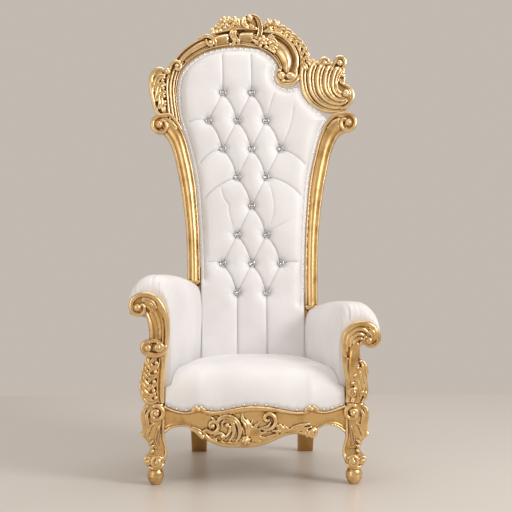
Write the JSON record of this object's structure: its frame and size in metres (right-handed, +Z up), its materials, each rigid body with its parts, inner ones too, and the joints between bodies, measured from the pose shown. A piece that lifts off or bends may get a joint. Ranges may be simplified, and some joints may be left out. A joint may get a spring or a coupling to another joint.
{
  "type": "throne",
  "caption": "Tall carved throne armchair with gilded scrollwork, a tufted leather back with crystal buttons, rolled arms and a domed seat.",
  "frame": {"origin": "on the floor, under the middle of the whole throne's width and depth", "axes": "+Z up, -Y to the front, where a sitter faces, +X to the right of someone looking at the front"},
  "size_m": [0.9136, 0.7746, 1.8369],
  "materials": {
    "gilded_wood": "antique gold leaf on carved wood, satin, with dark brown glaze in the hollows",
    "white_leather": "soft white leatherette with a fine grain and a low sheen",
    "crystal": "clear cut crystal",
    "silver_trim": "polished silver button rims and small nail heads"
  },
  "bodies": {
    "root": {"crest": "gilded_wood", "back_post_left": "gilded_wood", "back_post_right": "gilded_wood", "back_cushion": "white_leather", "back_panel": "white_leather", "button_01": "crystal", "button_02": "crystal", "button_03": "crystal", "button_04": "crystal", "button_05": "crystal", "button_06": "crystal", "button_07": "crystal", "button_08": "crystal", "button_09": "crystal", "button_10": "crystal", "button_11": "crystal", "button_12": "crystal", "button_13": "crystal", "button_14": "crystal", "button_15": "crystal", "button_16": "crystal", "button_17": "crystal", "button_18": "crystal", "seat_cushion": "white_leather", "arm_pad_left": "white_leather", "arm_pad_right": "white_leather", "arm_front_left": "gilded_wood", "arm_front_right": "gilded_wood", "front_rail": "gilded_wood", "rear_rail": "gilded_wood", "side_rail_left": "gilded_wood", "side_rail_right": "gilded_wood", "front_leg_left": "gilded_wood", "front_leg_right": "gilded_wood", "rear_leg_left": "gilded_wood", "rear_leg_right": "gilded_wood"}
  },
  "joints": []
}
